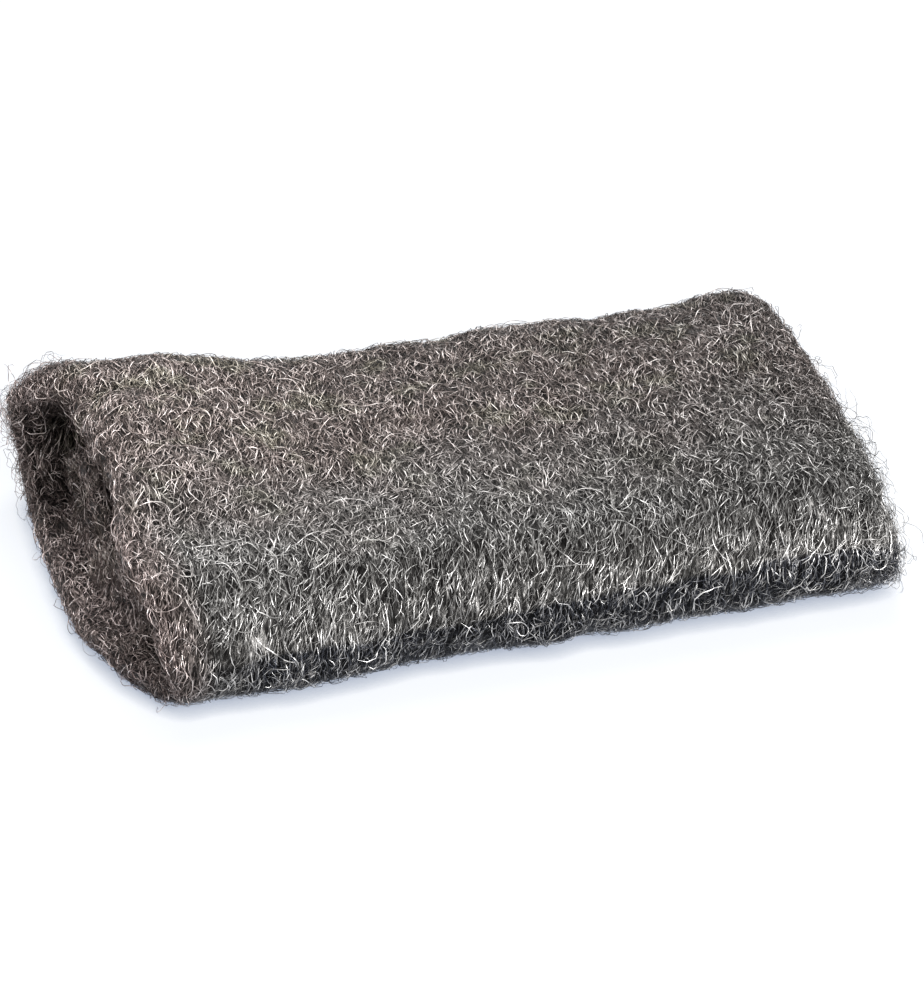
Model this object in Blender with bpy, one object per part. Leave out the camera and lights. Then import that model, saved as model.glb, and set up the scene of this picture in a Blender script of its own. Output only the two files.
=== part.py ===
"""A steel wool hand pad: one ribbon of wool, wound flat on itself two and a half times.

The ribbon starts inside, near the front edge. It runs to the back, folds over, comes forward,
folds down, runs back along the table, makes the loose loop at the back, comes forward over the
top, turns down round the front edge, and its free end is tucked underneath.
X runs along the folds, with the open mouth at -X. Y runs from the front to the back, and Z up.
"""

import math

import bmesh
import bpy
from mathutils import Vector, noise

# Size of the whole pad, in metres.
PAD_LENGTH = 0.126
PAD_DEPTH = 0.078
BACK_BULGE = 0.003

# The ribbon: its thickness where it is packed, its thickness where it fluffs up at the rim of the
# mouth, the space between two turns, and how far its cut edges round off, in half thicknesses.
LAYER = 0.0038
RIM_LAYER = 0.0082
TURN_GAP = 0.00045
EDGE_ROUND = 1.5

# The free end under the pad: how far it reaches back from the front edge, the length over which
# the turns above it step down to the table, and how far its tip stands back at the mouth.
TAIL_REACH = 0.023
STEP_DOWN = 0.018
TAIL_SETBACK = 0.0025

# The back of the pad: how far the inner fold stays from the outer loop, how much the inner fold
# is opened up, how round the outer loop is, and how far the loop rises at the mouth, over what length.
NOSE_SPACE = 0.0115
NOSE_LIFT = 0.0040
BACK_ROUND = 0.0125
MOUTH_RISE = 0.0052
MOUTH_REACH = 0.048

# The front edge sags, so that its widest line is below the middle.
FRONT_SAG = 0.0016
FRONT_SAG_REACH = 0.026

# The cut ends seen from above: how far the corners, the top of the mouth and the inner turns
# stand back at the left end, how far the corners, front top and inner turns do at the right end, and
# how far from the front or back edge a corner starts.
LEFT_FRONT_CORNER = 0.0080
LEFT_BACK_CORNER = 0.0050
LEFT_TOP_SETBACK = 0.0080
LEFT_TOP_REACH = 0.040
CORE_SETBACK = 0.0065
RIGHT_CORNER = 0.0020
RIGHT_TOP_SETBACK = 0.0030
RIGHT_TOP_REACH = 0.062
RIGHT_CORE_SETBACK = 0.0015
CORNER_REACH = 0.022

# The soft lumps of the wool.
LUMP_HEIGHT = 0.0014
LUMP_SPACING = 0.019
LUMP_FADE = 0.004
LUMP_STARTS = (Vector((3.1, 7.7, 1.9)), Vector((12.3, 12.1, 11.2)), Vector((12.0, 1.9, 4.8)))

# The tufts of fibre on the bare faces of the outer turn.
TUFT_HEIGHT = 0.0014
TUFT_SPACING = 0.0060
TUFT_START = Vector((7.9, 1.3, 12.4))

# How finely the shape is divided.
SLICES = 30
EDGE_STEPS = 3
RUN_STEPS = 9
LOOP_RUN_STEPS = 2
TAIL_STEPS = 3
FOLD_STEPS = 9
INNER_FOLD_STEPS = 6

PITCH = LAYER + TURN_GAP
FRONT_HEIGHT = 5 * LAYER + 4 * TURN_GAP
FOLD_CENTRE = FRONT_HEIGHT / 2
# Where, in the step down, the free end stops: it is about a third of its thickness there.
TAIL_SHARE = 0.6
MIDDLE_LAYERS = 2


def smooth(start, end, value):
    """0 before start, 1 after end, and an even curve between."""
    share = min(1.0, max(0.0, (value - start) / (end - start)))
    return share * share * (3 - 2 * share)


def step_down(y):
    """How far the turns above the free end have come down, y metres behind the front edge."""
    start = TAIL_REACH - TAIL_SHARE * STEP_DOWN
    return PITCH * smooth(start, start + STEP_DOWN, y)


def fold(points, centre, reach, start, steps, half, weights, bare):
    """Adds half a circle or ellipse, counter-clockwise in the YZ plane, to a ribbon's points."""
    for step in range(1, steps):
        weight = weights[0] + (weights[1] - weights[0]) * step / steps
        angle = start + math.pi * step / steps
        y = centre[0] + reach[0] * math.cos(angle)
        z = centre[1] + reach[1] * math.sin(angle)
        normal = Vector((math.cos(angle) / reach[0], math.sin(angle) / reach[1])).normalized()
        points.append((y, z, -normal.x, -normal.y, half, weight, bare))


def steps_between(start, end, count):
    """Places from start to end, both included, shared by all the turns between them."""
    return [start + (end - start) * step / count for step in range(count + 1)]


def ribbon(mouth):
    """The middle of the ribbon in one slice, as a list of places along it.

    Each is (y, z, side y, side z, half thickness, outer share, bare). y is measured from the front
    edge. The side points to the ribbon's inner face. mouth goes from 1 at the open left end to 0
    further in, and the outer share from 0 on the inner turns to 1 on the outer ones. bare is 1
    where the outer face can be seen and 0 where it lies on the table or on another turn.
    """
    half = LAYER / 2
    rim = half + mouth * (RIM_LAYER - LAYER) / 2
    depth = PAD_DEPTH + mouth * BACK_BULGE
    back_height = FRONT_HEIGHT + mouth * MOUTH_RISE
    loop = (BACK_ROUND - rim, (back_height - rim - half) / 2)
    loop_y = depth - BACK_ROUND
    nose = (PITCH + NOSE_LIFT) / 2
    nose_y = depth - LAYER - NOSE_SPACE - nose - half
    front = FOLD_CENTRE

    def level(number, y):
        return half + number * PITCH - step_down(y)

    def top(y):
        share = smooth(front, front + (loop_y - front) * 0.7, y)
        thick = half + (rim - half) * share
        return FRONT_HEIGHT + (back_height - FRONT_HEIGHT) * share - thick, thick

    def lift(y):
        return NOSE_LIFT * smooth(nose_y - 0.5 * (nose_y - front), nose_y, y)

    inner_places = steps_between(front, nose_y, RUN_STEPS)
    places = inner_places + steps_between(nose_y, loop_y, LOOP_RUN_STEPS)[1:]
    points = []

    # The inner end, blunt and round, then the run to the back inside the pad.
    for share in (0.35, 0.8):
        y = front - half * math.sqrt(1 - share * share)
        points.append((y, level(2, y), 0.0, 1.0, half * share, 0.0, 0))
    for y in inner_places:
        points.append((y, level(2, y), 0.0, 1.0, half, 0.0, 0))
    nose_centre = (nose_y, level(2, nose_y) + nose)
    fold(points, nose_centre, (nose, nose), -math.pi / 2, INNER_FOLD_STEPS, half, (0.0, 0.0), 0)
    for y in reversed(inner_places):
        points.append((y, level(3, y) + lift(y), 0.0, -1.0, half, 0.0, 0))
    fold(points, (front, front), (PITCH, PITCH), math.pi / 2, INNER_FOLD_STEPS, half, (0.0, 1.0), 0)

    # Along the table to the back, round the loose loop, and forward over the top.
    for y in places:
        points.append((y, level(1, y), 0.0, 1.0, half, 1.0, 0))
    for step in range(1, FOLD_STEPS):
        angle = -math.pi / 2 + math.pi * step / FOLD_STEPS
        share = step / FOLD_STEPS
        thick = half + (rim - half) * share
        y = loop_y + (BACK_ROUND - thick) * math.cos(angle)
        z = half + loop[1] * (1 + math.sin(angle))
        side = Vector((math.cos(angle) / loop[0], math.sin(angle) / loop[1])).normalized()
        points.append((y, z, -side.x, -side.y, thick, 1.0, 1))
    for y in reversed(places):
        z, thick = top(y)
        points.append((y, z, 0.0, -1.0, thick, 1.0, 1))

    # Down round the front edge, and the free end tucked underneath, thinner to its tip.
    reach = MIDDLE_LAYERS * PITCH
    tip_share = 1 - TAIL_SETBACK / CORE_SETBACK
    fold(points, (front, front), (reach, reach), math.pi / 2, FOLD_STEPS, half, (1.0, 1.0), 1)
    for y in steps_between(front, TAIL_REACH, TAIL_STEPS):
        thick = (LAYER - step_down(y)) / 2
        share = 1 + (tip_share - 1) * (y - front) / (TAIL_REACH - front)
        points.append((y, thick, 0.0, 1.0, thick, share, 0))
    thick = (LAYER - step_down(TAIL_REACH)) / 2
    points.append((TAIL_REACH + thick, thick, 0.0, 1.0, thick * 0.4, tip_share, 0))
    return points


def left_setback(y, z, outer):
    """How far the left cut edge stands back from the pad's end, at a place in the slice."""
    behind = max(0.0, y - 0.3 * PAD_DEPTH) / (0.7 * PAD_DEPTH)
    low = 1 - 0.5 * smooth(0.0, FRONT_HEIGHT, z)
    edge = LEFT_BACK_CORNER * behind**2 * low
    edge += LEFT_FRONT_CORNER * (1 - smooth(0.0, CORNER_REACH, y)) * low
    # The top of the mouth is scooped out between the front edge and the loop at the back.
    high = smooth(0.6 * FRONT_HEIGHT, FRONT_HEIGHT, z)
    between = smooth(0.0, LEFT_TOP_REACH, y) * (1 - smooth(PAD_DEPTH - BACK_ROUND, PAD_DEPTH, y))
    edge += LEFT_TOP_SETBACK * between * high
    return edge + CORE_SETBACK * (1 - outer)


def right_setback(y, z, outer):
    """How far the right cut edge stands back from the pad's end, at a place in the slice."""
    near_edge = min(y, PAD_DEPTH + BACK_BULGE - y)
    corner = 1 - smooth(0.0, CORNER_REACH, near_edge)
    high = smooth(0.5 * FRONT_HEIGHT, FRONT_HEIGHT, z) * (1 - smooth(0.0, RIGHT_TOP_REACH, y))
    edge = RIGHT_CORNER * corner**2 + RIGHT_TOP_SETBACK * high
    return edge + RIGHT_CORE_SETBACK * (1 - outer)


def slices():
    """Each slice as (end, turn of its cut edge from 0 to 1, share of the way along)."""
    turns = [(step + 0.25) / (EDGE_STEPS + 0.25) for step in range(EDGE_STEPS)]
    found = [("left", turn, 0.0) for turn in turns]
    found += [("middle", 1.0, step / SLICES) for step in range(SLICES + 1)]
    found += [("right", turn, 1.0) for turn in reversed(turns)]
    return found


def lump(place):
    """The soft unevenness of the wool, as a shift that fades out at the table."""
    fade = smooth(0.0, LUMP_FADE, place.z)
    along, across, up = (noise.noise(place / LUMP_SPACING + start) for start in LUMP_STARTS)
    return Vector((0.5 * along, across, up)) * LUMP_HEIGHT * fade


def tuft(place):
    """How far a bare face stands out or in at a place."""
    fade = smooth(0.0, LUMP_FADE, place.z)
    return TUFT_HEIGHT * noise.noise(place / TUFT_SPACING + TUFT_START) * fade


def sag(y, z):
    """How far the front edge has sunk at a place in the slice."""
    height = min(1.0, max(0.0, z / FRONT_HEIGHT))
    return FRONT_SAG * math.sin(math.pi * height) * (1 - smooth(0.0, FRONT_SAG_REACH, y))


def ring(end, turn, share):
    """One slice: the inner face's points from the inner end to the free end, then the outer face's back."""
    # The mouth's puff follows the distance from the left end, the same for all of the slice.
    mouth = 1 - smooth(0.0, MOUTH_REACH, PAD_LENGTH * share)
    squeeze = math.sin(math.pi / 2 * turn)
    inner, outer = [], []
    for y, z, side_y, side_z, half, weight, bare in ribbon(mouth):
        left = left_setback(y, z, weight)
        right = right_setback(y, z, weight)
        rounding = EDGE_ROUND * half
        if end == "left":
            x = left + rounding * (1 - math.cos(math.pi / 2 * turn))
        elif end == "right":
            x = PAD_LENGTH - right - rounding * (1 - math.cos(math.pi / 2 * turn))
        else:
            x = left + rounding + (PAD_LENGTH - left - right - 2 * rounding) * share
        for face, sign in ((inner, 1), (outer, -1)):
            face_y = y + sign * side_y * half * squeeze
            face_z = z + sign * side_z * half * squeeze
            face_z -= sag(face_y, face_z)
            place = Vector((x, face_y, face_z))
            if bare and sign < 0:
                place -= Vector((0.0, side_y, side_z)) * tuft(place) * squeeze
            face.append(place + lump(place))
    return inner + outer[::-1]


def wound_ribbon():
    """The whole ribbon as one closed mesh."""
    rings = [ring(end, turn, share) for end, turn, share in slices()]

    # Stood on the table, with the middle of its box over the origin.
    every = [place for one in rings for place in one]
    low = Vector([min(place[axis] for place in every) for axis in range(3)])
    high = Vector([max(place[axis] for place in every) for axis in range(3)])
    origin = Vector(((low.x + high.x) / 2, (low.y + high.y) / 2, low.z))

    mesh = bmesh.new()
    rows = [[mesh.verts.new(place - origin) for place in one] for one in rings]
    for near, far in zip(rows, rows[1:]):
        for index in range(len(near)):
            after = (index + 1) % len(near)
            mesh.faces.new((near[index], near[after], far[after], far[index]))
    for row in (rows[0], rows[-1]):
        last = len(row) - 1
        for index in range(len(row) // 2 - 1):
            mesh.faces.new((row[index], row[index + 1], row[last - index - 1], row[last - index]))
    bmesh.ops.recalc_face_normals(mesh, faces=mesh.faces)
    bmesh.ops.triangulate(mesh, faces=mesh.faces)
    return mesh


def steel_wool():
    """Matted grey steel fibre: metallic, but rough and dark from the shadows between the strands."""
    material = bpy.data.materials.new("steel_wool")
    material.use_nodes = True
    shader = material.node_tree.nodes["Principled BSDF"]
    shader.inputs["Base Color"].default_value = (0.165, 0.155, 0.148, 1.0)
    shader.inputs["Metallic"].default_value = 0.85
    shader.inputs["Roughness"].default_value = 0.5
    return material


for old in list(bpy.data.objects):
    bpy.data.objects.remove(old)

pad_mesh = bpy.data.meshes.new("steel_wool_pad")
wound = wound_ribbon()
wound.to_mesh(pad_mesh)
wound.free()
pad_mesh.shade_smooth()
pad_mesh.materials.append(steel_wool())
pad = bpy.data.objects.new("steel_wool_pad", pad_mesh)
bpy.context.scene.collection.objects.link(pad)
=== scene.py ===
import math

import bmesh
import bpy
import numpy as np
from mathutils import Matrix, Vector, noise
from mathutils.bvhtree import BVHTree


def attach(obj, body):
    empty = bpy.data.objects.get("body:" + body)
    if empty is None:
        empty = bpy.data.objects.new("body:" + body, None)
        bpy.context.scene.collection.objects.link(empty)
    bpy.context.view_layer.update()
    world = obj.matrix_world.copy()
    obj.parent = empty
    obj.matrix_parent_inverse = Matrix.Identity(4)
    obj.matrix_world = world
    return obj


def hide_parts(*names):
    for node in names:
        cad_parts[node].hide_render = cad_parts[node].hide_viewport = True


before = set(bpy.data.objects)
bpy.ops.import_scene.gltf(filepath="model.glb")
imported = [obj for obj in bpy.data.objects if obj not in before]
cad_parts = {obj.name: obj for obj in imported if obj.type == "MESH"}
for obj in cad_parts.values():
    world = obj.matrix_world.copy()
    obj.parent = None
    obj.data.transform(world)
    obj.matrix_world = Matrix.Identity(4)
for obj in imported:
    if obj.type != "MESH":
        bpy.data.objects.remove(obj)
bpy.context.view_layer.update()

# The wool body
# The pad is one ribbon of steel wool wound flat on itself, its turns matted together at the cut
# ends. This piece is the dense mat, painted dark between its fibres as shade, and stands for the frame's
# solid.
# Nothing but its own tangle holds it. The strands that lie on it come in the sections after it.
WOOL_NODE = "steel_wool_pad"
SLIT_CLOSING = 0.00034
BODY_VOXEL = 0.00105
SMOOTHING_ROUNDS = 5
TUFTS = (
    # how wide a tuft of matted fibre is, and how high it stands
    (0.0045, 0.00035),
    (0.0016, 0.00008),
)
FRINGE_SETBACK = 0.0008
FRINGE_START = 0.050
FRINGE_FADE = (-0.030, 0.010)
MAT_THINNEST = 0.062
FRINGE_THICKEST = 0.061


def closed_copy(node):
    """The frame's solid as one welded mesh, swollen a little so that the turns touch."""
    mesh = bmesh.new()
    mesh.from_mesh(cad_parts[node].data)
    bmesh.ops.remove_doubles(mesh, verts=mesh.verts, dist=1e-6)
    mesh.normal_update()
    for vertex in mesh.verts:
        vertex.co += vertex.normal * SLIT_CLOSING
    return mesh


def object_of(mesh, name):
    """A new object at the origin that holds a bmesh, which is freed."""
    data = bpy.data.meshes.new(name)
    mesh.to_mesh(data)
    mesh.free()
    thing = bpy.data.objects.new(name, data)
    bpy.context.scene.collection.objects.link(thing)
    return thing


def evaluated_mesh(thing):
    """The object's mesh with its modifiers worked in, as a new mesh."""
    bpy.context.view_layer.update()
    graph = bpy.context.evaluated_depsgraph_get()
    return bpy.data.meshes.new_from_object(thing.evaluated_get(graph), depsgraph=graph)


def keep_largest_shell(mesh):
    """Deletes every part of the mesh that isn't joined to the largest one."""
    left = set(mesh.verts)
    shells = []
    while left:
        reached = [left.pop()]
        for vertex in reached:
            for edge in vertex.link_edges:
                other = edge.other_vert(vertex)
                if other in left:
                    left.remove(other)
                    reached.append(other)
        shells.append(reached)
    shells.sort(key=len)
    for shell in shells[:-1]:
        bmesh.ops.delete(mesh, geom=shell, context="VERTS")


def smoothstep(low, high, values):
    """0 below low, 1 above high, and an even curve between, for a number or an array."""
    share = np.clip((values - low) / (high - low), 0.0, 1.0)
    return share * share * (3 - 2 * share)


def in_right_front_corner(x, y, deepest):
    """How far a place lies in the low front corner of the right end, 1 from x = deepest on."""
    return smoothstep(FRINGE_START, deepest, x) * (1 - smoothstep(*FRINGE_FADE, y))


def matted_body():
    """The solid remeshed as one skin, its facets smoothed away and its surface tufted."""
    body = object_of(closed_copy(WOOL_NODE), "wool_body")
    remesh = body.modifiers.new("matting", "REMESH")
    remesh.mode = "VOXEL"
    remesh.voxel_size = BODY_VOXEL
    mesh = bmesh.new()
    mesh.from_mesh(evaluated_mesh(body))
    body.modifiers.remove(remesh)
    keep_largest_shell(mesh)
    for _ in range(SMOOTHING_ROUNDS):
        bmesh.ops.smooth_vert(
            mesh, verts=mesh.verts, factor=0.5, use_axis_x=True, use_axis_y=True, use_axis_z=True
        )
    mesh.normal_update()
    for vertex in mesh.verts:
        rise = -SLIT_CLOSING
        for size, height in TUFTS:
            rise += height * noise.noise(vertex.co / size)
        vertex.co += vertex.normal * rise
        vertex.co.z = max(vertex.co.z, 0.0)
        # The right front corner is see-through fringe, so the mat ends short of it.
        vertex.co.x -= FRINGE_SETBACK * float(in_right_front_corner(*vertex.co.xy, MAT_THINNEST))
    mesh.normal_update()
    mesh.to_mesh(body.data)
    mesh.free()
    body.data.shade_smooth()
    return body


wool_body = matted_body()
wool_body.data.name = "wool_body"

# How open each place of the body is
# The share of rays that leave the pad, from 0 deep in the mouth to 1 on an outer face. Strands are
# scattered by it, so that few are spent where they can't be seen, and the hollow is darkened as painted
# shade.
SKY_RAYS = 18
SKY_REACH = 0.022
RAY_START = 0.0006
GOLDEN_TURN = math.pi * (3 - math.sqrt(5))


def sky_rays():
    """Directions spread over the half sphere around +Z, denser near its top."""
    rays = []
    for index in range(SKY_RAYS):
        out = math.sqrt((index + 0.5) / SKY_RAYS)
        angle = GOLDEN_TURN * index
        rays.append(Vector((out * math.cos(angle), out * math.sin(angle), math.sqrt(1 - out * out))))
    return rays


def openness(thing):
    """For each vertex, the share of rays that get clear of the mesh."""
    mesh = bmesh.new()
    mesh.from_mesh(thing.data)
    tree = BVHTree.FromBMesh(mesh)
    rays = sky_rays()
    shares = []
    for vertex in mesh.verts:
        turn = vertex.normal.to_track_quat("Z", "Y").to_matrix()
        start = vertex.co + vertex.normal * RAY_START
        hits = sum(tree.ray_cast(start, turn @ ray, SKY_REACH)[0] is not None for ray in rays)
        shares.append(1 - hits / len(rays))
    mesh.free()
    return np.array(shares)


def write_shares(thing):
    """Stores on the body how thickly each kind of strand is scattered at each place."""
    data = thing.data
    count = len(data.vertices)
    places = np.empty((count, 3), np.float32)
    normals = np.empty((count, 3), np.float32)
    data.vertices.foreach_get("co", places.ravel())
    data.vertices.foreach_get("normal", normals.ravel())
    open_share = openness(thing)
    under = smoothstep(0.5, 0.9, -normals[:, 2]) * (1 - smoothstep(0.001, 0.004, places[:, 2]))
    end_facing = smoothstep(0.35, 0.8, np.abs(normals[:, 0]))
    side_facing = smoothstep(0.4, 0.9, np.abs(normals[:, 1]))
    # The loosest places are the low front corner of the right end and the high back one of the left.
    right_front = in_right_front_corner(places[:, 0], places[:, 1], FRINGE_THICKEST)
    at_left = smoothstep(FRINGE_START, FRINGE_THICKEST, -places[:, 0])
    left_back = at_left * smoothstep(0.020, 0.036, places[:, 1])
    shares = {
        "open": open_share,
        "matted": (0.15 + 0.85 * smoothstep(0.0, 0.45, open_share)) * (1 - 0.75 * under),
        "curly": smoothstep(0.35, 0.75, open_share) * (1 - under),
        "frayed": smoothstep(0.3, 0.7, open_share)
        * (0.12 + 0.88 * end_facing + 0.35 * side_facing)
        * (1 - 0.9 * under),
        "fringed": smoothstep(0.4, 0.7, open_share)
        * (0.10 * end_facing + right_front + 0.6 * left_back)
        * (1 - under),
    }
    for name, values in shares.items():
        stored = data.attributes.new(name, "FLOAT", "POINT")
        stored.data.foreach_set("value", values.astype(np.float32))


write_shares(wool_body)

# The finish of the matted wool
# Bare steel fibre, tarnished brown at the mouth and on top, with painted shade and painted highlights.
# Each noise is stretched along the strands, and the thin band where it crosses its middle value is
# one strand. Six such layers, each turned a little, cross over each other as the fibres do.


class Nodes:
    """Adds nodes to one tree, with their inputs given in order as links or constants."""

    def __init__(self, tree):
        self.tree = tree

    def add(self, kind, *values, **settings):
        """A new node. A value of None leaves its input as it is."""
        node = self.tree.nodes.new(kind)
        for name, value in settings.items():
            setattr(node, name, value)
        for socket, value in zip([s for s in node.inputs if s.enabled], values):
            if isinstance(value, bpy.types.NodeSocket):
                self.tree.links.new(value, socket)
            elif value is not None:
                socket.default_value = value
        return node

    def result(self, kind, *values, **settings):
        """The first output in use of a new node."""
        node = self.add(kind, *values, **settings)
        return next(socket for socket in node.outputs if socket.enabled)

    def number(self, operation, *values):
        return self.result("ShaderNodeMath", *values, operation=operation)

    def vector(self, operation, *values):
        return self.result("ShaderNodeVectorMath", *values, operation=operation)

    def mix(self, kind, share, first, second, **settings):
        return self.result("ShaderNodeMix", share, first, second, data_type=kind, **settings)

    def scaled(self, vector, size):
        node = self.add("ShaderNodeVectorMath", vector, operation="SCALE")
        self.tree.links.new(size, node.inputs["Scale"])
        return node.outputs["Vector"]

    def map_range(self, value, low, high, start=0.0, end=1.0):
        return self.result("ShaderNodeMapRange", value, low, high, start, end)

    def steel_ramp(self, level, dark, middle_place, middle, bright):
        """Colours from dark, at level 0, through a middle one to bright, at level 1."""
        node = self.add("ShaderNodeValToRGB", level)
        steps = node.color_ramp.elements
        steps[0].color = dark
        steps[1].color = bright
        steps.new(middle_place).color = middle
        return node.outputs["Color"]


def new_group(name, inputs, outputs):
    """An empty shader group with these named sockets, as (Nodes, its inputs, its outputs)."""
    tree = bpy.data.node_groups.new(name, "ShaderNodeTree")
    for socket_name, kind in inputs:
        tree.interface.new_socket(socket_name, in_out="INPUT", socket_type=kind)
    for socket_name, kind in outputs:
        tree.interface.new_socket(socket_name, in_out="OUTPUT", socket_type=kind)
    given = tree.nodes.new("NodeGroupInput").outputs
    leaving = tree.nodes.new("NodeGroupOutput").inputs
    return Nodes(tree), given, leaving


def new_material(name):
    """A new material, as (material, Nodes, the inputs of its Principled BSDF)."""
    material = bpy.data.materials.new(name)
    material.use_nodes = True
    tree = material.node_tree
    return material, Nodes(tree), tree.nodes["Principled BSDF"].inputs


WINDING_TOP = 0.0215
STRAND_LAYERS = (
    # turn from the winding in degrees, strands per metre across, stretch, weight
    (-24.0, 930.0, 9.0, 1.0),
    (17.0, 810.0, 8.0, 0.9),
    (-48.0, 690.0, 7.0, 0.75),
    (43.0, 740.0, 7.0, 0.8),
    (3.0, 1050.0, 11.0, 0.85),
    (62.0, 1200.0, 6.0, 0.7),
)
STRAND_WIDTH = 0.06


def winding_coordinates():
    """A group for the place across the strands, along the winding and through the wool."""
    put, given, leaving = new_group(
        "winding_coordinates",
        [("Vector", "NodeSocketVector"), ("Normal", "NodeSocketVector")],
        [("Vector", "NodeSocketVector")],
    )
    place = put.add("ShaderNodeSeparateXYZ", given["Vector"]).outputs
    facing = put.add("ShaderNodeSeparateXYZ", given["Normal"]).outputs
    side = put.number("MULTIPLY", put.number("SIGN", place["Y"]), -1.0)
    drop = put.number("SUBTRACT", place["Z"], WINDING_TOP)
    along = put.number("MULTIPLY_ADD", drop, side, place["Y"])
    sides = put.result("ShaderNodeCombineXYZ", place["X"], along, 0.0)
    ends = put.result("ShaderNodeCombineXYZ", place["Z"], place["Y"], 0.05)
    end_facing = put.map_range(put.number("ABSOLUTE", facing["X"]), 0.62, 0.75)
    put.tree.links.new(put.mix("VECTOR", end_facing, sides, ends), leaving["Vector"])
    return put.tree


def strand_pattern():
    """A group for fibre height and fibre brightness, from winding coordinates."""
    put, given, leaving = new_group(
        "strand_pattern",
        [("Vector", "NodeSocketVector")],
        [("Height", "NodeSocketFloat"), ("Brightness", "NodeSocketFloat")],
    )
    height = 0.0
    bright = 0.0
    for number, (turn, frequency, stretch, weight) in enumerate(STRAND_LAYERS):
        turned = put.result(
            "ShaderNodeVectorRotate",
            given["Vector"],
            (0.0, 0.0, 0.0),
            None,
            math.radians(turn),
            rotation_type="Z_AXIS",
        )
        scaled = put.vector("MULTIPLY", turned, (frequency, frequency / stretch, frequency / stretch))
        moved = put.vector("ADD", scaled, (17.3 * number, 5.1 * number, 9.7 * number))
        wave = put.result("ShaderNodeTexNoise", moved, 1.0, 1.0, 0.45)
        off = put.number("ABSOLUTE", put.number("SUBTRACT", wave, 0.5))
        strand = put.map_range(off, 0.0, STRAND_WIDTH, 1.0, 0.0)
        longer = put.vector("MULTIPLY", moved, (0.35, 1.1, 1.0))
        # Patches of brightness along each fibre are painted glints
        patch = put.result("ShaderNodeTexNoise", longer, 1.0, 0.0, 0.5)
        shine = put.map_range(patch, 0.38, 0.7, 0.15, weight)
        height = put.number("MAXIMUM", height, put.number("MULTIPLY", strand, weight))
        bright = put.number("MAXIMUM", bright, put.number("MULTIPLY", strand, shine))
    put.tree.links.new(height, leaving["Height"])
    put.tree.links.new(bright, leaving["Brightness"])
    return put.tree


# Each tint multiplies the steel's own colour.
CLEAN_TINT = (1.0, 0.985, 0.965, 1.0)
BROWN_TINT = (1.10, 0.89, 0.83, 1.0)
STRAW_TINT = (1.07, 0.96, 0.76, 1.0)
MOUTH_TINT = (1.10, 0.86, 0.82, 1.0)


def tarnish_and_painted_light():
    """A group that tarnishes a steel colour by its place, paints a highlight above the front's low band,
    and paints shade into the low band and the hollow.
    """
    put, given, leaving = new_group(
        "tarnish_and_painted_light",
        [
            ("Vector", "NodeSocketVector"),
            ("Level", "NodeSocketFloat"),
            ("Colour", "NodeSocketColor"),
            ("Low tint", "NodeSocketColor"),
            ("Open", "NodeSocketFloat"),
        ],
        [("Colour", "NodeSocketColor")],
    )
    place = put.add("ShaderNodeSeparateXYZ", given["Vector"]).outputs
    patches = put.result("ShaderNodeTexNoise", given["Vector"], 55.0, 2.0, 0.6)
    specks = put.result("ShaderNodeTexNoise", given["Vector"], 130.0, 2.0, 0.6)

    # Brown with straw-coloured spots behind a ragged line on the top, and redder at the mouth
    ragged = put.number("MULTIPLY_ADD", patches, 0.034, put.number("SUBTRACT", place["Y"], 0.017))
    behind = put.map_range(ragged, -0.030, 0.002)
    at_mouth = put.map_range(place["X"], -0.050, -0.058)
    tarnished = put.mix("RGBA", put.map_range(specks, 0.52, 0.66), BROWN_TINT, STRAW_TINT)
    browned = put.mix("RGBA", put.number("MAXIMUM", behind, at_mouth), CLEAN_TINT, tarnished)
    tint = put.mix("RGBA", put.number("MULTIPLY", at_mouth, 0.85), browned, MOUTH_TINT)

    # The top is duller towards the right end
    to_right = put.map_range(place["X"], -0.045, 0.055, 0.04, 0.54)
    dimmed = put.number("MULTIPLY", to_right, put.map_range(place["Z"], 0.013, 0.020))

    # The front turns under below a slanting line; above it is a painted highlight, and below it painted
    # dark blue shade
    line = put.map_range(place["X"], -0.01, 0.05, 0.0074, 0.0090)
    edge = put.number("MULTIPLY_ADD", patches, 0.005, line)
    below = put.number("SUBTRACT", edge, place["Z"])
    in_front = put.map_range(place["Y"], 0.0, -0.01)
    off_mouth = put.map_range(place["X"], -0.055, -0.042)
    off_fringe = put.map_range(place["X"], 0.0620, 0.0590)
    front = put.number("MULTIPLY", put.number("MULTIPLY", in_front, off_mouth), off_fringe)
    low = put.number("MULTIPLY", put.map_range(below, -0.0003, 0.0005), front)
    near_edge = put.number("MULTIPLY", put.map_range(below, -0.0060, -0.0005), front)
    edge_light = put.map_range(place["X"], -0.045, -0.015, 0.70, 0.50)
    # The painted highlight above the line, added to the top's dimming towards the right end
    caught = put.number("MULTIPLY_ADD", near_edge, edge_light, put.number("SUBTRACT", 1.0, dimmed))

    # The brightest levels are painted glints, so the tint and the painted low shade are weaker in them
    share = put.map_range(given["Level"], 0.45, 1.0, 1.0, 0.35)
    tinted = put.mix("RGBA", share, given["Colour"], put.scaled(tint, caught), blend_type="MULTIPLY")
    shaded = put.number("MULTIPLY", low, put.map_range(given["Level"], 0.45, 0.85, 1.0, 0.0))
    lowered = put.mix("RGBA", shaded, tinted, given["Low tint"], blend_type="MULTIPLY")
    # Less open places, deep in the mouth and between the turns, are darkened as painted shade
    reached = put.map_range(given["Open"], 0.35, 0.80, 0.88, 1.0)
    put.tree.links.new(put.scaled(lowered, reached), leaving["Colour"])
    return put.tree


TARNISH_AND_PAINTED_LIGHT = tarnish_and_painted_light()


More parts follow.
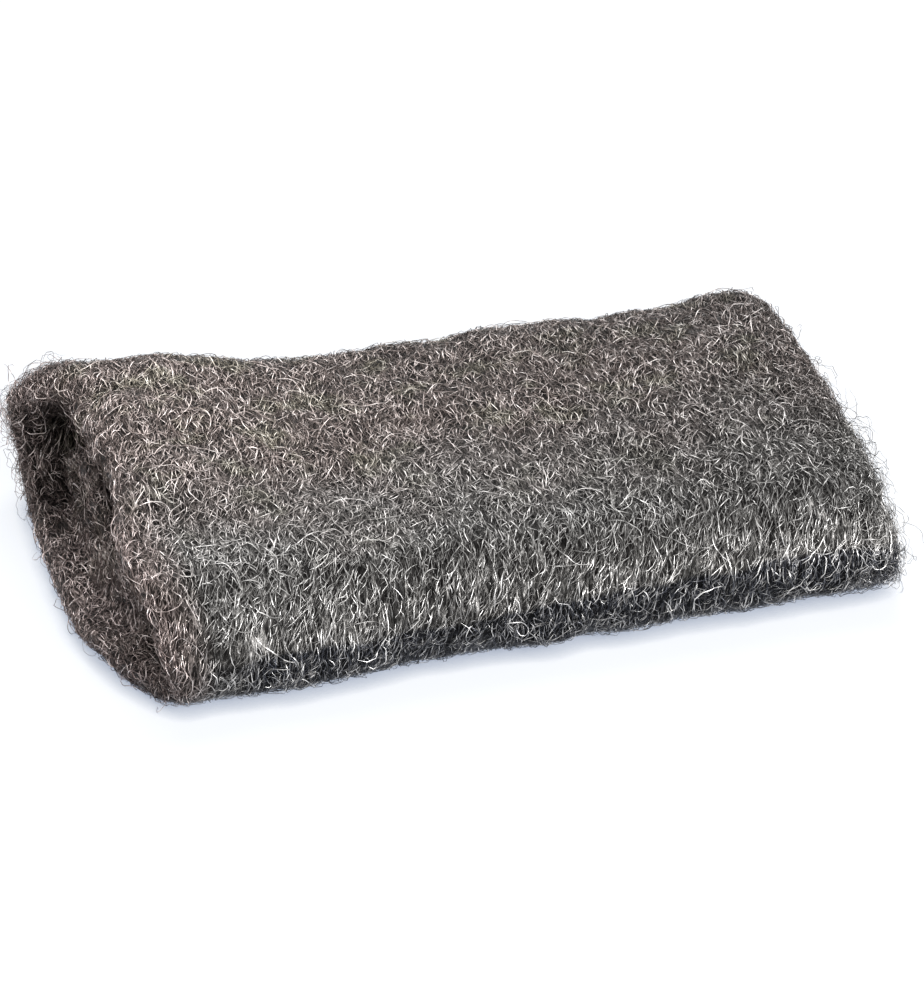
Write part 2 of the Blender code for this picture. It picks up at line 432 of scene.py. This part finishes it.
def matted_wool():
    """Painted dark shade between the strands, grey on them, with painted glints, browner where it has
    tarnished.
    """
    material, put, shader = new_material("matted_wool")
    place = put.add("ShaderNodeTexCoord").outputs["Object"]
    normal = put.add("ShaderNodeNewGeometry").outputs["Normal"]
    open_share = put.add("ShaderNodeAttribute", attribute_name="open").outputs["Fac"]
    winding = put.result("ShaderNodeGroup", place, normal, node_tree=winding_coordinates())
    strands = put.add("ShaderNodeGroup", winding, node_tree=strand_pattern()).outputs
    # The dark end of the ramp is painted shade between the fibres, and its bright end painted glints
    colours = put.steel_ramp(
        strands["Brightness"],
        dark=(0.004, 0.0037, 0.0035, 1),
        middle_place=0.45,
        middle=(0.034, 0.0326, 0.0312, 1),
        bright=(0.40, 0.390, 0.380, 1),
    )
    # The front's low band is darkened towards this colour as painted shade
    low_band_shade_tint = (0.10, 0.112, 0.155, 1.0)
    steel = put.result(
        "ShaderNodeGroup",
        place,
        strands["Brightness"],
        colours,
        low_band_shade_tint,
        open_share,
        node_tree=TARNISH_AND_PAINTED_LIGHT,
    )
    put.tree.links.new(steel, shader["Base Color"])
    shader["Metallic"].default_value = 0.8
    shader["Roughness"].default_value = 0.42
    bump = put.add("ShaderNodeBump")
    bump.inputs["Strength"].default_value = 0.9
    bump.inputs["Distance"].default_value = 0.00025
    put.tree.links.new(strands["Height"], bump.inputs["Height"])
    put.tree.links.new(bump.outputs["Normal"], shader["Normal"])
    return material


wool_body.data.materials.append(matted_wool())
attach(wool_body, "root")
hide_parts(WOOL_NODE)

# The matted strands
# Steel wool is shaved off a wire, so each strand is a long thin sliver with a ridge. Most lie flat
# along the winding and cross each other, held by the tangle alone. They are four pieces, each one
# arching a little higher over the mat and a little coarser than the one before.
MATTED_LAYERS = (
    # how high a strand arches, and its radius
    (0.00030, 0.000050),
    (0.00045, 0.000052),
    (0.00065, 0.000055),
    (0.00095, 0.000058),
)


def strand_steel():
    """Bright cut steel that has greyed: each strand has its own tone, with painted glints along it."""
    material, put, shader = new_material("strand_steel")
    place = put.add("ShaderNodeTexCoord").outputs["Object"]
    tone = put.add("ShaderNodeAttribute", attribute_name="tone").outputs["Fac"]
    open_share = put.add("ShaderNodeAttribute", attribute_name="open").outputs["Fac"]
    # Bright patches along each strand are painted glints
    own = put.number("MULTIPLY", tone, 300.0)
    patch = put.result("ShaderNodeTexNoise", place, own, 650.0, 1.0, 0.5, noise_dimensions="4D")
    glint = put.map_range(patch, 0.38, 0.62)
    level = put.number("MULTIPLY_ADD", glint, 0.4, put.number("MULTIPLY", tone, 0.6))
    colours = put.steel_ramp(
        level,
        dark=(0.012, 0.0116, 0.0112, 1),
        middle_place=0.5,
        middle=(0.155, 0.152, 0.149, 1),
        bright=(0.84, 0.83, 0.82, 1),
    )
    # The front's low band is darkened towards this colour as painted shade
    low_band_shade_tint = (0.25, 0.275, 0.35, 1.0)
    steel = put.result(
        "ShaderNodeGroup", place, level, colours, low_band_shade_tint, open_share, node_tree=TARNISH_AND_PAINTED_LIGHT
    )
    put.tree.links.new(steel, shader["Base Color"])
    shader["Metallic"].default_value = 0.85
    shader["Roughness"].default_value = 0.34
    return material


STRAND_SOCKETS = (
    ("Share", "NodeSocketFloat"),
    ("Strands per area", "NodeSocketFloat"),
    ("Seed", "NodeSocketInt"),
    ("Length", "NodeSocketFloat"),
    ("Length spread", "NodeSocketFloat"),
    ("Swing", "NodeSocketFloat"),
    ("Rise", "NodeSocketFloat"),
    ("Bend", "NodeSocketFloat"),
    ("Least bend", "NodeSocketFloat"),
    ("Curl", "NodeSocketFloat"),
    ("Curl size", "NodeSocketFloat"),
    ("Lift", "NodeSocketFloat"),
    ("Loose", "NodeSocketFloat"),
    ("Radius", "NodeSocketFloat"),
    ("Dullest", "NodeSocketFloat"),
    ("Points", "NodeSocketInt"),
    ("Material", "NodeSocketMaterial"),
)
STRAND_FACTS = {
    "root": "FLOAT_VECTOR",
    "facing": "FLOAT_VECTOR",
    "heading": "FLOAT_VECTOR",
    "size": "FLOAT",
    "bend": "FLOAT",
    "tone": "FLOAT",
}
WINDING_AXIS = (1.0, -0.11, -0.25)
STRAND_LEAN = math.radians(8)
COMBED_SHARE = 0.6
TANGLED_SHARE = 1.15
LOW_BAND_TOP = 0.0100
LOW_BAND_FULL = 0.0075
STRAIGHTEST_BEND = 0.013


def strand_tree():
    """Strands scattered over a body, turned along the winding and bent to follow the surface."""
    tree = bpy.data.node_groups.new("wool_strands", "GeometryNodeTree")
    tree.is_modifier = True
    tree.interface.new_socket("Body", in_out="INPUT", socket_type="NodeSocketGeometry")
    for name, kind in STRAND_SOCKETS:
        tree.interface.new_socket(name, in_out="INPUT", socket_type=kind)
    tree.interface.new_socket("Strands", in_out="OUTPUT", socket_type="NodeSocketGeometry")
    put = Nodes(tree)
    given = tree.nodes.new("NodeGroupInput").outputs
    body = given["Body"]

    def chance(low, high, extra):
        seed = put.number("ADD", given["Seed"], extra)
        return put.result("FunctionNodeRandomValue", low, high, None, seed)

    # Where each strand is rooted
    density = put.number("MULTIPLY", given["Share"], given["Strands per area"])
    roots = put.add("GeometryNodeDistributePointsOnFaces", body, None, density, given["Seed"])
    facing = roots.outputs["Normal"]
    winding = put.vector("NORMALIZE", put.vector("CROSS_PRODUCT", facing, WINDING_AXIS))

    # The front face is combed straighter, but neither its low band nor the curly kinds are
    towards = put.add("ShaderNodeSeparateXYZ", facing).outputs["Y"]
    rooted = put.add("ShaderNodeSeparateXYZ", put.result("GeometryNodeInputPosition")).outputs["Z"]
    low_down = put.map_range(rooted, LOW_BAND_TOP, LOW_BAND_FULL, COMBED_SHARE, TANGLED_SHARE)
    tangled = put.number("MAXIMUM", low_down, put.number("MULTIPLY", given["Least bend"], 2.5))
    off_front = put.map_range(towards, -0.9, -0.2, COMBED_SHARE, 1.0)
    combed = put.number("MAXIMUM", off_front, tangled)

    # Which way it heads, and how long, bent and bright it is
    swing = put.number("MULTIPLY", put.number("ADD", chance(-0.5, 0.5, 1), chance(-0.5, 0.5, 2)), combed)
    flip = put.number("MULTIPLY", put.number("ROUND", chance(0.0, 1.0, 3)), math.pi)
    lean = put.number("SUBTRACT", flip, STRAND_LEAN)
    angle = put.number("MULTIPLY_ADD", swing, given["Swing"], lean)
    flat = put.result(
        "ShaderNodeVectorRotate", winding, (0.0, 0.0, 0.0), facing, angle, rotation_type="AXIS_ANGLE"
    )
    rise = put.number("MULTIPLY", given["Rise"], chance(0.2, 1.0, 4))
    up = put.scaled(facing, put.number("SINE", rise))
    out = put.scaled(flat, put.number("COSINE", rise))
    length = put.number("MULTIPLY_ADD", given["Length spread"], chance(-1.0, 1.0, 5), given["Length"])
    spare_bend = put.number("SUBTRACT", 1.0, given["Least bend"])
    bend_share = put.number("MULTIPLY_ADD", chance(0.0, 1.0, 6), spare_bend, given["Least bend"])
    bent = put.number("MULTIPLY", given["Bend"], put.number("MULTIPLY", bend_share, combed))
    left_or_right = put.number("MULTIPLY_ADD", put.number("ROUND", chance(0.0, 1.0, 8)), 2.0, -1.0)
    spare_tone = put.number("SUBTRACT", 1.0, given["Dullest"])
    facts = {
        "root": put.result("GeometryNodeInputPosition"),
        "facing": facing,
        "heading": put.vector("ADD", up, out),
        "size": length,
        "bend": put.number("MULTIPLY", bent, left_or_right),
        "tone": put.number("MULTIPLY_ADD", chance(0.0, 1.0, 7), spare_tone, given["Dullest"]),
    }
    marked = roots.outputs["Points"]
    for name, kind in STRAND_FACTS.items():
        marked = put.result(
            "GeometryNodeStoreNamedAttribute",
            marked,
            None,
            name,
            facts[name],
            data_type=kind,
            domain="POINT",
        )

    # A strand at each root, drawn as an arc that starts along its heading
    line = put.result("GeometryNodeCurvePrimitiveLine", (0.0, 0.0, 0.0), (0.0, 0.0, 1.0))
    pointed = put.result("GeometryNodeResampleCurve", line, None, given["Points"])
    copies = put.result("GeometryNodeInstanceOnPoints", marked, None, pointed)
    straight = put.result("GeometryNodeRealizeInstances", copies)
    of_strand = {
        name: put.result("GeometryNodeInputNamedAttribute", name, data_type=kind)
        for name, kind in STRAND_FACTS.items()
    }
    share = put.add("GeometryNodeSplineParameter").outputs["Factor"]
    bend = put.number("ADD", of_strand["bend"], STRAIGHTEST_BEND)
    turned = put.number("MULTIPLY", bend, share)
    reach = put.number("DIVIDE", of_strand["size"], bend)
    forward = put.number("MULTIPLY", reach, put.number("SINE", turned))
    sideways = put.number("MULTIPLY", reach, put.number("SUBTRACT", 1.0, put.number("COSINE", turned)))
    side = put.vector("CROSS_PRODUCT", of_strand["facing"], of_strand["heading"])
    arc = put.vector("ADD", put.scaled(of_strand["heading"], forward), put.scaled(side, sideways))
    drawn = put.vector("ADD", of_strand["root"], arc)

    # Curls, then down onto the surface, where loose strands stay clear of it
    fine = put.scaled(drawn, put.number("DIVIDE", 1.0, given["Curl size"]))
    own = put.number("MULTIPLY", of_strand["tone"], 400.0)
    waves = put.add("ShaderNodeTexNoise", fine, own, 1.0, 1.0, 0.5, noise_dimensions="4D")
    centred = put.vector("SUBTRACT", waves.outputs["Color"], (0.5, 0.5, 0.5))
    curled = put.vector("ADD", drawn, put.scaled(centred, put.number("MULTIPLY", given["Curl"], 4.0)))
    nearest = put.add("GeometryNodeProximity", body, None, curled, target_element="FACES")
    under = put.result(
        "GeometryNodeSampleNearestSurface",
        body,
        put.result("GeometryNodeInputNormal"),
        None,
        curled,
        data_type="FLOAT_VECTOR",
    )
    arch = put.number("SINE", put.number("MULTIPLY", share, math.pi))
    weave = put.number("MULTIPLY_ADD", waves.outputs["Fac"], 2.0, -0.45)
    height = put.number("MULTIPLY", put.number("MULTIPLY", arch, weave), given["Lift"])
    lying = put.vector("ADD", nearest.outputs["Position"], put.scaled(under, height))
    free = put.number("MULTIPLY", given["Loose"], put.number("POWER", share, 0.5))
    settled = put.mix("VECTOR", free, lying, curled)

    # No strand goes through the table
    parts = put.add("ShaderNodeSeparateXYZ", settled).outputs
    lowest = put.number("MAXIMUM", parts["Z"], put.number("MULTIPLY", given["Radius"], 1.3))
    kept = put.result("ShaderNodeCombineXYZ", parts["X"], parts["Y"], lowest)
    laid = put.result("GeometryNodeSetPosition", straight, None, kept)

    # Slivers with one ridge, thinner towards their ends
    taper = put.number("MULTIPLY_ADD", put.number("POWER", arch, 0.5), 0.65, 0.35)
    thick = put.number("MULTIPLY_ADD", of_strand["tone"], 0.5, 0.75)
    radius = put.number("MULTIPLY", put.number("MULTIPLY", given["Radius"], thick), taper)
    ridged = put.result("GeometryNodeCurveArc", 3, 1.0, 0.0, math.pi)
    slivers = put.result("GeometryNodeCurveToMesh", laid, ridged, radius, False)
    realized = put.result("GeometryNodeRealizeInstances", slivers)
    finished = put.result("GeometryNodeSetMaterial", realized, None, given["Material"])
    leave = tree.nodes.new("NodeGroupOutput")
    tree.links.new(finished, leave.inputs["Strands"])
    return tree


STRAND_TREE = strand_tree()
STRAND_STEEL = strand_steel()


def scatter_strands(name, share, **values):
    """A piece of strands over the body, as a plain mesh."""
    piece = bpy.data.objects.new(name, wool_body.data.copy())
    bpy.context.scene.collection.objects.link(piece)
    scatter = piece.modifiers.new("strands", "NODES")
    scatter.node_group = STRAND_TREE
    identifiers = {
        item.name: item.identifier
        for item in STRAND_TREE.interface.items_tree
        if item.item_type == "SOCKET" and item.in_out == "INPUT"
    }
    for key, value in values.items():
        scatter[identifiers[key.replace("_", " ")]] = value
    scatter[identifiers["Material"]] = STRAND_STEEL
    scatter[identifiers["Share"] + "_use_attribute"] = True
    scatter[identifiers["Share"] + "_attribute_name"] = share
    plain = evaluated_mesh(piece)
    plain.name = name
    piece.modifiers.remove(scatter)
    body_copy = piece.data
    piece.data = plain
    bpy.data.meshes.remove(body_copy)
    for fact in STRAND_FACTS:
        if fact != "tone":
            plain.attributes.remove(plain.attributes[fact])
    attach(piece, "root")


for number, (lift, radius) in enumerate(MATTED_LAYERS):
    scatter_strands(
        f"matted_strands_{number + 1}",
        "matted",
        Strands_per_area=655000.0,
        Seed=10 * number + 3,
        Length=0.0032,
        Length_spread=0.0015,
        Swing=math.radians(38),
        Rise=0.0,
        Bend=1.7,
        Least_bend=0.0,
        Curl=0.0003,
        Curl_size=0.0026,
        Lift=lift,
        Loose=0.0,
        Radius=radius,
        Dullest=0.0,
        Points=4,
    )

# The loose curls
# Longer and coarser shavings that have sprung out of the mat and lie over it in open curves. They
# are the brightest strands, and only their roots are caught in the tangle.
scatter_strands(
    "loose_curls",
    "curly",
    Strands_per_area=56000.0,
    Seed=71,
    Length=0.0066,
    Length_spread=0.0040,
    Swing=math.radians(130),
    Rise=math.radians(5),
    Bend=2.8,
    Least_bend=0.2,
    Curl=0.0004,
    Curl_size=0.005,
    Lift=0.0013,
    Loose=0.10,
    Radius=0.000062,
    Dullest=0.6,
    Points=11,
)

# The frayed strands
# The ribbon was cut across at both ends, and the short ends of its strands stand off the mat there.
# A few stand off the other faces too, and blur the outline of the pad.
scatter_strands(
    "frayed_strands",
    "frayed",
    Strands_per_area=900000.0,
    Seed=91,
    Length=0.0012,
    Length_spread=0.0007,
    Swing=math.radians(160),
    Rise=math.radians(42),
    Bend=3.4,
    Least_bend=0.3,
    Curl=0.0004,
    Curl_size=0.0016,
    Lift=0.0006,
    Loose=1.0,
    Radius=0.000042,
    Dullest=0.0,
    Points=4,
)

# The fringe curls
# At the two loosest corners, and here and there at the cut ends, the wool has come undone into long
# fine loops that let light through. They are rooted in the mat, and nothing else holds them.
scatter_strands(
    "fringe_curls",
    "fringed",
    Strands_per_area=2000000.0,
    Seed=131,
    Length=0.0085,
    Length_spread=0.0034,
    Swing=math.radians(170),
    Rise=math.radians(56),
    Bend=6.5,
    Least_bend=0.4,
    Curl=0.0004,
    Curl_size=0.0016,
    Lift=0.0008,
    Loose=1.0,
    Radius=0.000046,
    Dullest=0.0,
    Points=14,
)

# The white table
# A plain pale floor that shows as white to the camera and in the steel, and keeps the pad's shadow.
# Close under the pad the white turns to a narrow painted blue-grey shadow, where little light gets in.
FLOOR_SIZE = 2.4
SHADE_REACH = 0.003
SHADE_COLOUR = (0.66, 0.77, 1.0, 1.0)
FLOOR_COLOUR = (0.92, 0.95, 1.0, 1.0)


def seen_directly(put):
    """1 where a place is seen by the camera, in metal or through glass, and 0 where it only lights."""
    path = put.add("ShaderNodeLightPath").outputs
    in_metal = put.number("MAXIMUM", path["Is Camera Ray"], path["Is Glossy Ray"])
    return put.number("MAXIMUM", in_metal, path["Is Transmission Ray"])


def white_table():
    """Matt grey under the lamps, with a white glow for the camera and for reflections only, dimmed to a
    painted blue-grey shadow close under the pad.
    """
    material, put, shader = new_material("white_table")
    shader["Base Color"].default_value = (0.22, 0.22, 0.22, 1)
    shader["Roughness"].default_value = 0.9
    shader["Specular IOR Level"].default_value = 0.0
    # The glow dims near the pad as a painted shadow
    clear = put.add("ShaderNodeAmbientOcclusion", None, SHADE_REACH, samples=1).outputs["AO"]
    white = put.mix("RGBA", put.map_range(clear, 0.4, 0.9), SHADE_COLOUR, FLOOR_COLOUR)
    put.tree.links.new(white, shader["Emission Color"])
    glow = put.map_range(clear, 0.4, 0.9, 0.45, 0.84)
    put.tree.links.new(put.number("MULTIPLY", seen_directly(put), glow), shader["Emission Strength"])
    return material


floor_mesh = bmesh.new()
bmesh.ops.create_grid(floor_mesh, x_segments=1, y_segments=1, size=FLOOR_SIZE / 2)
table = object_of(floor_mesh, "white_table")
table.data.materials.append(white_table())

# The studio
# Even white surroundings, one broad lamp above and behind, and a second one low in front. Both
# stand to the right, so that the mouth at the left stays dark.
WORLD_STRENGTH = 0.35
PAD_MIDDLE = (0, 0, 0.01)


def studio_world():
    """White where it is seen, and dimmer as a light."""
    world = bpy.data.worlds.new("white_room")
    world.use_nodes = True
    put = Nodes(world.node_tree)
    background = world.node_tree.nodes["Background"].inputs
    background["Color"].default_value = (1, 1, 1, 1)
    strength = put.map_range(seen_directly(put), 0.0, 1.0, WORLD_STRENGTH, 1.0)
    put.tree.links.new(strength, background["Strength"])
    bpy.context.scene.world = world


def lamp(name, place, size, power):
    """A square lamp that points at the pad."""
    light = bpy.data.lights.new(name, "AREA")
    light.size = size
    light.energy = power
    thing = bpy.data.objects.new(name, light)
    bpy.context.scene.collection.objects.link(thing)
    thing.location = place
    thing.rotation_euler = (Vector(PAD_MIDDLE) - Vector(place)).to_track_quat("-Z", "Y").to_euler()


studio_world()
lamp("top_lamp", place=(0.13, 0.50, 0.80), size=0.7, power=7.2)
lamp("front_lamp", place=(0.18, -0.95, 0.42), size=0.6, power=15.5)

# The camera
# It looks down on the pad's front from a little to the left, as the photograph does, with a long
# lens from far off.
VIEW_AZIMUTH = math.radians(-19.0)
VIEW_ELEVATION = math.radians(29.0)
VIEW_DISTANCE = 1.2
VIEW_TARGET = Vector((0.0011, -0.0040, 0.010))
LENS = 278.6

back = Vector((
    math.sin(VIEW_AZIMUTH) * math.cos(VIEW_ELEVATION),
    -math.cos(VIEW_AZIMUTH) * math.cos(VIEW_ELEVATION),
    math.sin(VIEW_ELEVATION),
))
right = Vector((math.cos(VIEW_AZIMUTH), math.sin(VIEW_AZIMUTH), 0))
view = Matrix((right, back.cross(right), back)).transposed().to_4x4()
view.translation = VIEW_TARGET + back * VIEW_DISTANCE
camera_data = bpy.data.cameras.new("camera")
camera_data.lens = LENS
camera_data.clip_start = 0.01
camera = bpy.data.objects.new("camera", camera_data)
camera.matrix_world = view
bpy.context.scene.collection.objects.link(camera)
bpy.context.scene.camera = camera
bpy.context.scene.view_settings.view_transform = "Standard"
